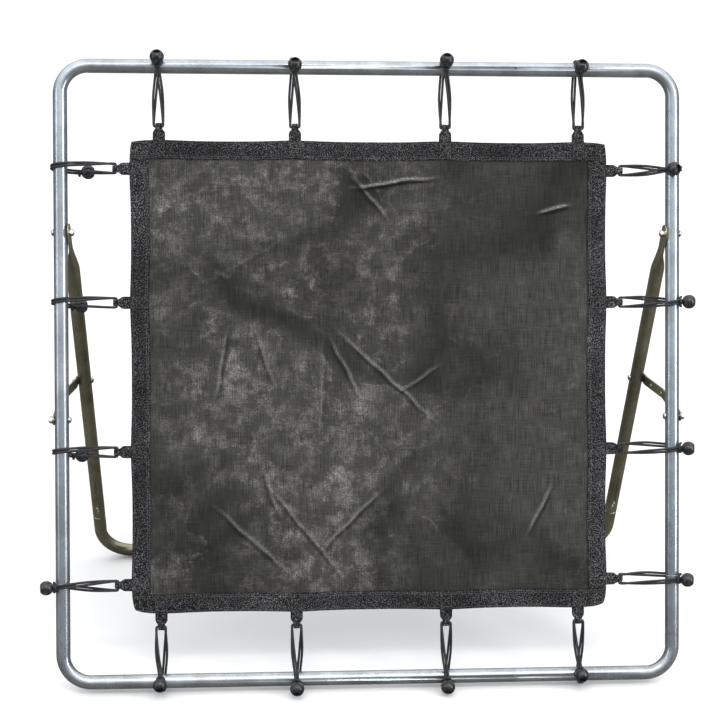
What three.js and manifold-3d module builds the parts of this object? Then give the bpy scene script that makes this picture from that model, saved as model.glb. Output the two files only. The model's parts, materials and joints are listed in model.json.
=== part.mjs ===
// Pitch back rebounder: a bungee-hung net in a leaning tube frame, propped by a rear U leg on slotted braces.
// Millimetres. +Z is up, +X is the viewer's right, and the net faces -Y. The object stands on Z = 0.
import * as THREE from 'three';
import { mergeVertices } from 'three/addons/utils/BufferGeometryUtils.js';
import Module from 'manifold-3d';

const wasm = await Module();
wasm.setup();

// ---- driving dimensions ----
const FRAME_W = 1000;              // outside width of the frame
const FRAME_H = 996;               // outside height of the frame, along its own plane
const TUBE_R = 11.1;               // outside radius of every tube (22.2 mm tube)
const TUBE_WALL = 1.5;
const CORNER_R = 45;               // centre-line radius of the frame's corners
const LEAN = THREE.MathUtils.degToRad(20.2);
const FRAME_JOINT_Z = -327;        // the frame's halves meet here, below its centre
const LEG_JOINT_Z = -608;          // the leg's tubes meet its ground bar here, below the pivot
const SPIGOT_UP = 60;              // a lower tube's spigots stand this far up inside the upper ones
const SPIGOT_DOWN = 20;
const GAP = 0.3;                   // between pieces that touch
const PIVOT_Z = 224.5;             // leg pivot above the frame's centre
const LEG_LENGTH = 700;            // pivot to the centre of the leg's ground bar
const LEG_BEND_R = 55;
const PLATE_HALF_THICK = 1.5;      // of the leg's flattened ends
const PLATE_HALF_DEPTH = 15;
const FLAT_TO = 22;                // the leg's ends are flat down to here, below the pivot
const ROUND_FROM = 64;
const BUTTON_Z = LEG_JOINT_Z + 24; // the spring button that locks each leg joint
const BUTTON_R = 2.4;
const BUTTON_PROUD = 1.6;
const BRACE_REACH = 295;           // pivot to brace bolt, the same on the leg and on the upright
const BRACE_THICK = 2.5;
const BRACE_W = 16;
const BRACE_PITCH = 37;            // between the round holes
const JOG_FROM = 16;               // the strip runs outward from the leg to the upright between these
const JOG_TO = 78;
const FOLD = THREE.MathUtils.degToRad(13);   // how far the leg closes before the slot ends
const BOLT_R = 3;
const HOLE_R = 3.3;
const NUT_THICK = 5;
const NUT_R = 5.77;                // across the hex corners, from the axis
const DRAIN_R = 2.8;
const DRAIN_X = 232;
const NET_W = 762;
const NET_H = 750;
const NET_Z = -4;                  // the net hangs this far from the frame's centre
const NET_THICK = 1.2;
const HEM_W = 30;
const HEM_PLY = 1.3;
const TAB_OUT = 26;                // how far a tab stands out of the hem
const TAB_ROOT_W = 22;
const TAB_TIP_W = 10;
const CORD_R = 1.8;
const WRAP_R = TUBE_R + CORD_R + 1.2;
const BALL_R = 11.25;
const BALL_SEAT = 27.6;            // ball centre from the tube's axis
const FRONT_BALL_TURN = 0.5;       // share by which a ball's bore turns from the tab towards the tube
const SIDE_BALL_TURN = 0.3;
const BORE_R = 4.3;
const KNOT_R = 5.4;                // the recess in the ball's outer side
const KNOT_FLOOR = 3;              // the recess's floor, beyond the ball's centre
const TIE_SHARES = [-0.88, -0.315, 0.315, 0.88];   // of the net's half width or half height

// ---- derived places ----
const RAIL_X = FRAME_W / 2 - TUBE_R;
const RAIL_Z = FRAME_H / 2 - TUBE_R;
const LEG_X = RAIL_X - TUBE_R - GAP - PLATE_HALF_THICK;
const STRAND = 2.15;               // half the spacing of the two strands of a pair

// ---- materials ----
const paint = (color, roughness, metalness) =>
  new THREE.MeshStandardMaterial({ color, roughness, metalness });
const ZINC = paint(0xb4bcc4, 0.38, 0.85);
const DULL_ZINC = paint(0x8d8b78, 0.5, 0.8);
const BRIGHT_ZINC = paint(0xc9ccd0, 0.3, 0.9);
const MESH_CLOTH = paint(0x35352f, 0.85, 0);
const WEBBING = paint(0x17181b, 0.9, 0);
const ELASTIC = paint(0x111113, 0.7, 0);
const BALL_PLASTIC = paint(0x0d0e10, 0.25, 0);

// ---- small tools ----
function toSolid(geometry, matrix = new THREE.Matrix4()) {
  const bare = geometry.clone().applyMatrix4(matrix);
  bare.deleteAttribute('normal');
  bare.deleteAttribute('uv');
  const merged = mergeVertices(bare, 1e-4);
  return new wasm.Manifold(new wasm.Mesh({
    numProp: 3,
    vertProperties: new Float32Array(merged.attributes.position.array),
    triVerts: new Uint32Array(merged.index.array),
  }));
}

function toGeometry(solid) {
  const mesh = solid.getMesh();
  const geometry = new THREE.BufferGeometry();
  geometry.setAttribute('position', new THREE.BufferAttribute(new Float32Array(mesh.vertProperties), 3));
  geometry.setIndex(new THREE.BufferAttribute(new Uint32Array(mesh.triVerts), 1));
  geometry.computeVertexNormals();
  return geometry;
}

function piece(name, geometry, material) {
  const mesh = new THREE.Mesh(geometry, material);
  mesh.name = name;
  return mesh;
}

function polygon(radius, sides, Kind = THREE.Shape) {
  const corner = (i) => (i / sides) * 2 * Math.PI;
  const points = Array.from({ length: sides }, (_, i) => new THREE.Vector2(
    radius * Math.cos(corner(i)), radius * Math.sin(corner(i))));
  return new Kind(points);
}

function ring(radius, bore, sides, boreSides) {
  const shape = polygon(radius, sides);
  shape.holes.push(polygon(bore, boreSides, THREE.Path));
  return shape;
}

// A path that is sampled at the stations it is given, each with its own direction.
class StationPath extends THREE.Curve {
  constructor(stations) {
    super();
    this.stations = stations;
  }
  blend(t, key) {
    const at = Math.min(t, 1) * (this.stations.length - 1);
    const first = Math.min(Math.floor(at), this.stations.length - 2);
    return this.stations[first][key].clone().lerp(this.stations[first + 1][key], at - first);
  }
  getPoint(t) { return this.blend(t, 'point'); }
  getTangent(t) { return this.blend(t, 'along').normalize(); }
  getUtoTmapping(u) { return u; }
}

function sweep(shape, stations) {
  const steps = stations.length - 1;
  const extrudePath = new StationPath(stations);
  return new THREE.ExtrudeGeometry(shape, { steps, bevelEnabled: false, extrudePath });
}

// Stations of a U in the XZ plane: down (or up) one side, across at acrossZ and back to the first height.
function uStations(halfWidth, endZ, acrossZ, radius, extra = []) {
  const way = Math.sign(acrossZ - endZ);
  const stations = [];
  const add = (x, z, dx, dz) => stations.push({
    point: new THREE.Vector3(x, 0, z), along: new THREE.Vector3(dx, 0, dz),
  });
  const bendSteps = 5;
  for (const z of [endZ, ...extra]) add(-halfWidth, z, 0, way);
  for (let i = 0; i <= bendSteps; i++) {
    const a = (i / bendSteps) * Math.PI / 2;
    add(-halfWidth + radius * (1 - Math.cos(a)), acrossZ - way * radius * (1 - Math.sin(a)),
      Math.sin(a), way * Math.cos(a));
  }
  for (let i = bendSteps; i >= 0; i--) {
    const a = (i / bendSteps) * Math.PI / 2;
    add(halfWidth - radius * (1 - Math.cos(a)), acrossZ - way * radius * (1 - Math.sin(a)),
      Math.sin(a), -way * Math.cos(a));
  }
  for (const z of [...extra].reverse().concat(endZ)) add(halfWidth, z, 0, -way);
  return stations;
}

// A rod along X or Y, for cutting holes.
function rod(radius, length, x, y, z, axis = 'x') {
  const turn = axis === 'x' ? new THREE.Matrix4().makeRotationZ(Math.PI / 2) : new THREE.Matrix4();
  const place = new THREE.Matrix4().makeTranslation(x, y, z).multiply(turn);
  return toSolid(new THREE.CylinderGeometry(radius, radius, length, 12), place);
}

function cut(solid, tools) {
  return tools.reduce((left, tool) => left.subtract(tool), solid);
}

const TUBE = ring(TUBE_R, TUBE_R - TUBE_WALL, 14, 12);

// A round spigot that stands up from a lower tube's end, on the axis at x, with a tail inside that tube.
function spigot(x, jointZ) {
  const outer = TUBE_R - TUBE_WALL - 3 * GAP;
  const inner = outer - TUBE_WALL;
  const held = TUBE_R - TUBE_WALL / 2;
  const foot = jointZ - SPIGOT_DOWN;
  const profile = [
    [inner, foot], [held, foot], [held, jointZ - 6], [outer, jointZ - 4],
    [outer, jointZ + SPIGOT_UP], [inner, jointZ + SPIGOT_UP], [inner, foot],
  ].map(([r, z]) => new THREE.Vector2(r, z));
  const upright = new THREE.Matrix4().makeRotationX(Math.PI / 2);
  return toSolid(new THREE.LatheGeometry(profile, 12),
    new THREE.Matrix4().makeTranslation(x, 0, 0).multiply(upright));
}

// A U of tube that plugs up into the tubes above it.
function lowerU(halfWidth, jointZ, acrossZ, radius) {
  const tube = toSolid(sweep(TUBE, uStations(halfWidth, jointZ - GAP, acrossZ, radius)));
  return tube.add(spigot(-halfWidth, jointZ)).add(spigot(halfWidth, jointZ));
}

// ---- frame: two U-bent tubes; the lower one plugs into the upper one ----
function frameUpper() {
  const tube = toSolid(sweep(TUBE, uStations(RAIL_X, FRAME_JOINT_Z, RAIL_Z, CORNER_R)));
  const holes = [rod(DRAIN_R, 3 * TUBE_R, DRAIN_X, -TUBE_R, RAIL_Z, 'y')];
  for (const side of [-1, 1]) {
    holes.push(rod(HOLE_R, 3 * TUBE_R, side * RAIL_X, 0, PIVOT_Z));
    holes.push(rod(HOLE_R, 3 * TUBE_R, side * RAIL_X, 0, PIVOT_Z - BRACE_REACH));
  }
  return piece('frame_upper_tube', toGeometry(cut(tube, holes)), ZINC);
}

function frameLower() {
  const tube = lowerU(RAIL_X, FRAME_JOINT_Z, -RAIL_Z, CORNER_R);
  const drain = rod(DRAIN_R, 3 * TUBE_R, DRAIN_X, -TUBE_R, -RAIL_Z, 'y');
  return piece('frame_lower_tube', toGeometry(cut(tube, [drain])), ZINC);
}

// ---- rear leg: two tubes with flattened ends over a U of ground bar; its origin is on the pivot line ----
function pinchEnd(geometry) {
  const position = geometry.attributes.position;
  const bore = TUBE_R - TUBE_WALL;
  for (let i = 0; i < position.count; i++) {
    const drop = -position.getZ(i);
    if (drop > ROUND_FROM) continue;
    const off = position.getX(i);
    const outside = Math.hypot(off, position.getY(i)) > (TUBE_R + bore) / 2;
    const round = THREE.MathUtils.smoothstep(drop, FLAT_TO, ROUND_FROM);
    const full = outside ? TUBE_R : bore;
    const thin = outside ? PLATE_HALF_THICK : 0.2;
    const deep = outside ? PLATE_HALF_DEPTH : PLATE_HALF_DEPTH - TUBE_WALL;
    position.setX(i, off * THREE.MathUtils.lerp(thin / full, 1, round));
    position.setY(i, position.getY(i) * THREE.MathUtils.lerp(deep / full, 1, round));
  }
  return geometry;
}

// A slab across X that rounds off the flattened end above the pivot.
function roundedEnd() {
  const side = 3 * PLATE_HALF_DEPTH;
  const keep = new THREE.Shape();
  keep.absarc(0, 0, PLATE_HALF_DEPTH - 0.5, 0, Math.PI);
  keep.lineTo(-side, -FLAT_TO / 2);
  keep.lineTo(-side, -LEG_LENGTH);
  keep.lineTo(side, -LEG_LENGTH);
  keep.lineTo(side, -FLAT_TO / 2);
  const slab = new THREE.ExtrudeGeometry(keep, { depth: 2 * side, bevelEnabled: false, curveSegments: 6 });
  const stand = new THREE.Matrix4().makeBasis(
    new THREE.Vector3(0, 1, 0), new THREE.Vector3(0, 0, 1), new THREE.Vector3(1, 0, 0));
  return toSolid(slab, stand.setPosition(-side, 0, 0));
}

function legSide(name, side) {
  const flare = [0, 0.25, 0.5, 0.75, 1].map((t) => -THREE.MathUtils.lerp(FLAT_TO, ROUND_FROM, t));
  const stations = [PLATE_HALF_DEPTH, ...flare, LEG_JOINT_Z].map((z) => ({
    point: new THREE.Vector3(0, 0, z), along: new THREE.Vector3(0, 0, -1),
  }));
  const tube = toSolid(pinchEnd(sweep(TUBE, stations))).intersect(roundedEnd());
  const holes = [0, -BRACE_REACH].map((z) => rod(HOLE_R, 3 * TUBE_R, 0, 0, z));
  holes.push(rod(BUTTON_R + GAP, TUBE_R, 0, -TUBE_R, BUTTON_Z, 'y'));
  const mesh = piece(name, toGeometry(cut(tube, holes)), DULL_ZINC);
  mesh.position.x = side * LEG_X;
  return mesh;
}

function legLower() {
  return piece('leg_lower_tube', toGeometry(lowerU(LEG_X, LEG_JOINT_Z, -LEG_LENGTH, LEG_BEND_R)), DULL_ZINC);
}

// A domed button that stands out of the front of a leg tube, from just outside the spigot.
function button(name, side) {
  const inner = TUBE_R - TUBE_WALL - 2 * GAP;
  const outer = TUBE_R + BUTTON_PROUD;
  const profile = [
    [0, inner], [BUTTON_R, inner], [BUTTON_R, outer - 1], [BUTTON_R * 0.7, outer - 0.3], [0, outer],
  ].map(([r, z]) => new THREE.Vector2(r, z));
  const geometry = new THREE.LatheGeometry(profile, 10);
  geometry.rotateX(Math.PI);
  const mesh = piece(name, geometry, BRIGHT_ZINC);
  mesh.position.set(side * LEG_X, 0, BUTTON_Z);
  return mesh;
}

// ---- braces: flat strips, jogged from the leg's outer face to the upright's and slotted at that end ----
const OPEN = legOpening();
const SLOT_TO = 2 * BRACE_REACH * Math.sin(OPEN / 2);
const SLOT_FROM = 2 * BRACE_REACH * Math.sin((OPEN - FOLD) / 2);

// The angle between frame and leg that puts both the frame's ties and the leg's bar on the ground.
function legOpening() {
  const tieDrop = WRAP_R + CORD_R;
  const pivotHeight = tieDrop + (PIVOT_Z + RAIL_Z) * Math.cos(LEAN);
  return LEAN + Math.acos((pivotHeight - TUBE_R) / LEG_LENGTH);
}

// The strip's own frame: origin on the leg bolt's axis at the leg's centre plane, +Z along the strip.
function brace(name, side) {
  const nearX = TUBE_R + GAP;
  const farX = RAIL_X + TUBE_R + GAP - LEG_X;
  const end = SLOT_TO + BRACE_W / 2;
  const edge = new THREE.Shape([
    [nearX, -BRACE_W / 2], [nearX, JOG_FROM], [farX, JOG_TO], [farX, end],
    [farX + BRACE_THICK, end], [farX + BRACE_THICK, JOG_TO - 1],
    [nearX + BRACE_THICK, JOG_FROM - 1], [nearX + BRACE_THICK, -BRACE_W / 2],
  ].map(([x, z]) => new THREE.Vector2(x, z)));
  const sideways = new THREE.Matrix4().makeBasis(
    new THREE.Vector3(side, 0, 0), new THREE.Vector3(0, 0, 1), new THREE.Vector3(0, -side, 0));
  const strip = toSolid(new THREE.ExtrudeGeometry(edge, { depth: BRACE_W, bevelEnabled: false }),
    sideways.setPosition(0, side * BRACE_W / 2, 0));
  const outline = capsule(BRACE_W / 2, 0, SLOT_TO, 8);
  const slot = capsule(HOLE_R, SLOT_FROM, SLOT_TO, 6);
  const deep = 6 * TUBE_R;
  const through = new THREE.Matrix4().makeBasis(
    new THREE.Vector3(0, 1, 0), new THREE.Vector3(0, 0, 1), new THREE.Vector3(1, 0, 0));
  const prism = (shape) => toSolid(new THREE.ExtrudeGeometry(shape, { depth: deep, bevelEnabled: false }),
    through.clone().setPosition(-deep / 2, 0, 0));
  const holes = [0, 1, 2].map((i) => rod(HOLE_R, deep, 0, 0, i * BRACE_PITCH));
  const solid = cut(strip.intersect(prism(outline)), [...holes, prism(slot)]);
  return piece(name, toGeometry(solid), DULL_ZINC);
}

function capsule(radius, from, to, arcSteps) {
  const halfRound = (z, start) => Array.from({ length: arcSteps + 1 }, (_, i) => {
    const a = start + (i / arcSteps) * Math.PI;
    return new THREE.Vector2(radius * Math.cos(a), z + radius * Math.sin(a));
  });
  return new THREE.Shape([...halfRound(to, 0), ...halfRound(from, Math.PI)]);
}

// ---- bolts: a domed head, a shank along X and a hex nut ----
// headFace is where the head bears; the shank's end stands a little past nutEnd.
function bolt(name, headFace, nutEnd) {
  const length = Math.abs(nutEnd - headFace) + 1.5;
  const head = [[0, 4], [2.5, 3.6], [4.4, 2.2], [5.3, 0], [BOLT_R, 0], [BOLT_R, -length], [0, -length]];
  const profile = head.map(([r, z]) => new THREE.Vector2(r, z)).reverse();
  const geometry = new THREE.LatheGeometry(profile, 10);
  const way = Math.sign(headFace - nutEnd);
  geometry.rotateZ(-way * Math.PI / 2);
  geometry.translate(headFace, 0, 0);
  return piece(name, geometry, BRIGHT_ZINC);
}

function nut(name, face, way) {
  const hexagon = ring(NUT_R, HOLE_R, 6, 10);
  const geometry = new THREE.ExtrudeGeometry(hexagon, { depth: NUT_THICK, bevelEnabled: false });
  geometry.rotateY(Math.PI / 2);
  geometry.translate(way > 0 ? face + GAP : face - GAP - NUT_THICK, 0, 0);
  return piece(name, geometry, BRIGHT_ZINC);
}

function boltPair(label, side, headFace, nutFace, z) {
  const way = Math.sign(headFace - nutFace);
  const pair = new THREE.Group();
  const head = side * (headFace + way * GAP);
  const nutOuter = side * (nutFace - way * NUT_THICK);
  pair.add(bolt(`${label}_bolt`, head, nutOuter));
  pair.add(nut(`${label}_nut`, side * nutFace, -side * way));
  pair.position.z = z;
  return pair;
}

// ---- net: a mesh sheet bound by four folded hems with their tabs ----
function netPanel() {
  const inset = HEM_PLY + GAP;
  const geometry = new THREE.BoxGeometry(NET_W - 2 * inset, NET_THICK, NET_H - 2 * inset);
  return piece('net_panel', geometry, MESH_CLOTH);
}

// Section of a hem (x: outward from the net, y: through its thickness), folded round the net's edge.
function hemSection() {
  const slot = NET_THICK / 2 + GAP;
  const out = slot + HEM_PLY;
  return new THREE.Shape([
    [-HEM_W, slot], [-HEM_PLY, slot], [-HEM_PLY, -slot], [-HEM_W, -slot],
    [-HEM_W, -out], [0, -out], [0, out], [-HEM_W, out],
  ].map(([x, y]) => new THREE.Vector2(x, y)));
}

// A tab: webbing that leaves the hem's edge and folds round the two strands of its tie.
const STRAND_PLACE = TAB_OUT - 5;
function tabSection() {
  const ply = HEM_PLY;
  const roomX = CORD_R + GAP + 0.2;
  const roomY = STRAND + CORD_R + GAP + 0.2;
  const at = STRAND_PLACE;
  const shape = new THREE.Shape([
    [-1, -ply], [at - roomX - 4, -ply], [at - roomX - ply, -roomY - ply], [at + roomX + ply, -roomY - ply],
    [TAB_OUT, -roomY / 2], [TAB_OUT, roomY / 2],
    [at + roomX + ply, roomY + ply], [at - roomX - ply, roomY + ply], [at - roomX - 4, ply], [-1, ply],
  ].map(([x, y]) => new THREE.Vector2(x, y)));
  shape.holes.push(new THREE.Path([
    [at - roomX, -roomY], [at - roomX, roomY], [at + roomX, roomY], [at + roomX, -roomY],
  ].map(([x, y]) => new THREE.Vector2(x, y))));
  return shape;
}

// A side's own frame: X outward from the frame's centre, Y along the tube, Z to the front of the net.
function tab(y) {
  const solid = toSolid(new THREE.ExtrudeGeometry(tabSection(), { depth: TAB_ROOT_W, bevelEnabled: false }),
    new THREE.Matrix4().makeBasis(
      new THREE.Vector3(1, 0, 0), new THREE.Vector3(0, 0, 1), new THREE.Vector3(0, -1, 0),
    ).setPosition(0, TAB_ROOT_W / 2, 0));
  const plan = new THREE.Shape([
    [-3, -TAB_ROOT_W / 2], [0, -TAB_ROOT_W / 2], [TAB_OUT - 9, -TAB_TIP_W / 2], [TAB_OUT + 1, -TAB_TIP_W / 2],
    [TAB_OUT + 1, TAB_TIP_W / 2], [TAB_OUT - 9, TAB_TIP_W / 2], [0, TAB_ROOT_W / 2], [-3, TAB_ROOT_W / 2],
  ].map(([x, w]) => new THREE.Vector2(x, w)));
  const keep = toSolid(new THREE.ExtrudeGeometry(plan, { depth: 30, bevelEnabled: false }),
    new THREE.Matrix4().makeTranslation(0, 0, -15));
  return solid.intersect(keep).translate([0, y, 0]);
}

// A hem with its four tabs. reach is the net's edge from the frame's centre; shift moves the tabs along it.
function hem(name, reach, halfLength, tieSpan, shift) {
  const lay = new THREE.Matrix4().makeBasis(
    new THREE.Vector3(1, 0, 0), new THREE.Vector3(0, 0, 1), new THREE.Vector3(0, -1, 0));
  const bar = new THREE.ExtrudeGeometry(hemSection(), { depth: 2 * halfLength, bevelEnabled: false });
  let solid = toSolid(bar, lay.setPosition(0, halfLength, 0));
  for (const share of TIE_SHARES) solid = solid.add(tab(share * tieSpan));
  return piece(name, toGeometry(solid.translate([reach, shift, 0])), WEBBING);
}

// ---- ball ties: an elastic loop whose two ends are knotted in a ball ----
// A tie's own frame: origin on the tube's axis, X outward, Y along the tube, Z to the front.
function ball(name, place, axis) {
  const rim = (r) => Math.sqrt(BALL_R * BALL_R - r * r);
  const profile = [[BORE_R, -rim(BORE_R)]];
  const from = Math.asin(-rim(BORE_R) / BALL_R);
  const to = Math.asin(rim(KNOT_R) / BALL_R);
  for (let i = 1; i <= 5; i++) {
    const a = THREE.MathUtils.lerp(from, to, i / 5);
    profile.push([BALL_R * Math.cos(a), BALL_R * Math.sin(a)]);
  }
  profile.push([KNOT_R, KNOT_FLOOR], [BORE_R, KNOT_FLOOR], [BORE_R, -rim(BORE_R)]);
  const geometry = new THREE.LatheGeometry(profile.map(([r, z]) => new THREE.Vector2(r, z)), 9);
  const mesh = piece(name, geometry, BALL_PLASTIC);
  mesh.quaternion.setFromUnitVectors(new THREE.Vector3(0, 1, 0), axis.clone().negate());
  mesh.position.copy(place);
  return mesh;
}

const around = (degrees, y, radius = WRAP_R) => {
  const a = THREE.MathUtils.degToRad(degrees);
  return new THREE.Vector3(radius * Math.sin(a), y, radius * Math.cos(a));
};

// The strand through the tab, from its -Y side to its +Y side. s is +1 or -1 for the two strands.
function throughTab(tabX, s) {
  const beside = TAB_TIP_W / 2 + CORD_R + 0.5;
  const into = [[6, -beside], [1.2, -beside + 0.3], [0, -beside + 3]];
  const outOf = into.map(([x, y]) => [x, -y]).reverse();
  return [...into, ...outOf].map(([x, y]) => new THREE.Vector3(tabX + x, y, s * STRAND));
}

function cordSolid(name, strandPoints) {
  const points = [...strandPoints(1), ...strandPoints(-1).reverse()];
  const stations = points.map((point, i) => {
    const back = point.clone().sub(points[Math.max(i - 1, 0)]).normalize();
    const ahead = points[Math.min(i + 1, points.length - 1)].clone().sub(point).normalize();
    return { point, along: back.add(ahead).normalize() };
  });
  return piece(name, sweep(polygon(CORD_R, 6), stations), ELASTIC);
}

// Ball outside the tube: over the tube, through the tab, round behind the tube and over the ball's neck.
function outerTie(label, tabX, ballAngle) {
  const place = around(ballAngle, 0, BALL_SEAT);
  const over = ballAngle > 25 ? around(5, 0, WRAP_R) : new THREE.Vector3(tabX + 6, 0, 0);
  const turn = ballAngle > 25 ? SIDE_BALL_TURN : FRONT_BALL_TURN;
  const toTube = place.clone().negate().normalize();
  const away = over.clone().sub(place).normalize().lerp(toTube, turn).normalize();
  const up = new THREE.Vector3(away.z, 0, -away.x);
  const neck = place.clone().addScaledVector(away, BALL_R + CORD_R + 0.5);
  const strand = (s) => {
    const shift = (point, y) => point.clone().setY(y);
    const path = [
      shift(place.clone().addScaledVector(away, -6), s * STRAND * 0.95),
      shift(neck.clone().addScaledVector(away, 2), s * STRAND * 0.95),
    ];
    if (ballAngle > 25) path.push(shift(around(-12, 0), -2 + s * STRAND));
    const entry = throughTab(tabX, s);
    path.push(shift(path.at(-1).clone().lerp(entry[0], 0.5), -5.5 + s * 1.9), ...entry);
    path.push(new THREE.Vector3(tabX / 2, 6.5 + s * STRAND, -WRAP_R * 0.55));
    const neckAngle = THREE.MathUtils.radToDeg(Math.atan2(neck.x, neck.z));
    for (let angle = 190; angle > neckAngle + 16; angle -= 40) {
      const near = THREE.MathUtils.clamp(1 - (angle - ballAngle) / 60, 0, 1);
      path.push(around(angle, THREE.MathUtils.lerp(3 + s * STRAND, s * 8.6, near)));
    }
    path.push(shift(neck.clone().addScaledVector(up, -2.5), s * 5.8));
    if (s > 0) path.push(neck.clone().addScaledVector(up, 4.4));
    return path;
  };
  return [cordSolid(`${label}_cord`, strand), ball(`${label}_ball`, place, away)];
}

// Ball inside the tube: ball, behind and round the tube, through the tab and back over the ball's neck.
function innerTie(label, tabX, ballX) {
  const place = new THREE.Vector3(ballX, 5, -10);
  const away = new THREE.Vector3(1, 0, 0);
  const neck = place.clone().addScaledVector(away, BALL_R + CORD_R + 0.5);
  const strand = (s) => {
    const path = [
      new THREE.Vector3(place.x - 6, place.y + s * STRAND * 0.95, place.z),
      new THREE.Vector3(neck.x + 2, place.y + s * STRAND * 0.95, place.z),
    ];
    for (let angle = 170; angle > -20; angle -= 40) path.push(around(angle, angle / 30 - 4 + s * STRAND));
    const entry = throughTab(tabX, s);
    path.push(path.at(-1).clone().lerp(entry[0], 0.5).setY(-6.5 + s * 1.9), ...entry);
    for (const degrees of [100, 65, 28]) {
      const a = THREE.MathUtils.degToRad(degrees);
      const clear = BALL_R + CORD_R + 1.6;
      path.push(new THREE.Vector3(place.x + clear * Math.cos(a), place.y, place.z + s * clear * Math.sin(a)));
    }
    if (s > 0) path.push(new THREE.Vector3(neck.x, place.y + 6, place.z));
    return path;
  };
  return [cordSolid(`${label}_cord`, strand), ball(`${label}_ball`, place, away)];
}

// Each side: the way out of the frame, the ties' rail and net edge, and where each tie's ball sits:
// an angle round the tube from the front for an outer ball, or a distance inside the tube for an inner one.
const SIDES = [
  { name: 'top', out: [0, 0, 1], rail: RAIL_Z, edge: NET_H / 2 + NET_Z, span: NET_W / 2, shift: 0,
    full: true, balls: [2, 19, 0, 22] },
  { name: 'right', out: [1, 0, 0], rail: RAIL_X, edge: NET_W / 2, span: NET_H / 2, shift: NET_Z,
    full: false, balls: [47, 54, 60, -10] },
  { name: 'bottom', out: [0, 0, -1], rail: RAIL_Z, edge: NET_H / 2 - NET_Z, span: NET_W / 2, shift: 0,
    full: true, balls: [0, 22, 25, -8] },
  { name: 'left', out: [-1, 0, 0], rail: RAIL_X, edge: NET_W / 2, span: NET_H / 2, shift: -NET_Z,
    full: false, balls: [-42, -30, -30, 60], inner: [true, true, true, false] },
];

function sideGroup(side) {
  const group = new THREE.Group();
  const out = new THREE.Vector3(...side.out);
  const front = new THREE.Vector3(0, -1, 0);
  group.setRotationFromMatrix(new THREE.Matrix4().makeBasis(out, front.clone().cross(out), front));
  const halfLength = side.full ? side.span : side.span - HEM_W - GAP;
  group.add(hem(`${side.name}_hem`, side.edge, halfLength, side.span, side.shift));
  TIE_SHARES.forEach((share, i) => {
    const tie = new THREE.Group();
    tie.position.set(side.rail, share * side.span + side.shift, 0);
    const tabX = side.edge + STRAND_PLACE - side.rail;
    const make = side.inner?.[i] ? innerTie : outerTie;
    tie.add(...make(`${side.name}_tie${i + 1}`, tabX, side.balls[i]));
    group.add(tie);
  });
  return group;
}

// ---- assembly ----
function legAssembly() {
  const leg = new THREE.Group();
  leg.position.z = PIVOT_Z;
  leg.rotation.x = OPEN;
  leg.add(legSide('leg_left_tube', -1), legSide('leg_right_tube', 1), legLower());
  leg.add(button('leg_left_button', -1), button('leg_right_button', 1));
  for (const [label, side] of [['left', -1], ['right', 1]]) {
    const swing = new THREE.Group();
    swing.position.set(side * LEG_X, 0, -BRACE_REACH);
    swing.rotation.x = (Math.PI - OPEN) / 2;
    swing.add(brace(`${label}_brace`, side));
    leg.add(swing);
    const inside = LEG_X - TUBE_R;
    const outside = LEG_X + TUBE_R + GAP + BRACE_THICK;
    leg.add(boltPair(`${label}_leg_brace`, side, inside, outside, -BRACE_REACH));
  }
  return leg;
}

function frameAssembly() {
  const frame = new THREE.Group();
  frame.add(frameUpper(), frameLower(), legAssembly());
  for (const [label, side] of [['left', -1], ['right', 1]]) {
    const outside = RAIL_X + TUBE_R;
    const plateInside = LEG_X - PLATE_HALF_THICK;
    frame.add(boltPair(`${label}_pivot`, side, outside, plateInside, PIVOT_Z));
    frame.add(boltPair(`${label}_upright_brace`, side, RAIL_X - TUBE_R, outside + GAP + BRACE_THICK,
      PIVOT_Z - BRACE_REACH));
  }
  const net = netPanel();
  net.position.z = NET_Z;
  frame.add(net, ...SIDES.map(sideGroup));
  frame.rotation.x = -LEAN;
  return frame;
}

const rebounder = new THREE.Group();
rebounder.name = 'pitch_back_rebounder';
rebounder.add(frameAssembly());
rebounder.updateMatrixWorld(true);
const extent = new THREE.Box3().setFromObject(rebounder, true);
rebounder.position.set(0, -(extent.min.y + extent.max.y) / 2, -extent.min.z);

export default rebounder;
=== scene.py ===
"""The visual model of the pitch back rebounder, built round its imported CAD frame.

Metres, +Z up; the net faces -Y.
"""
import json
import math
import random

import bmesh
import bpy
from mathutils import Matrix, Vector, noise


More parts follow.
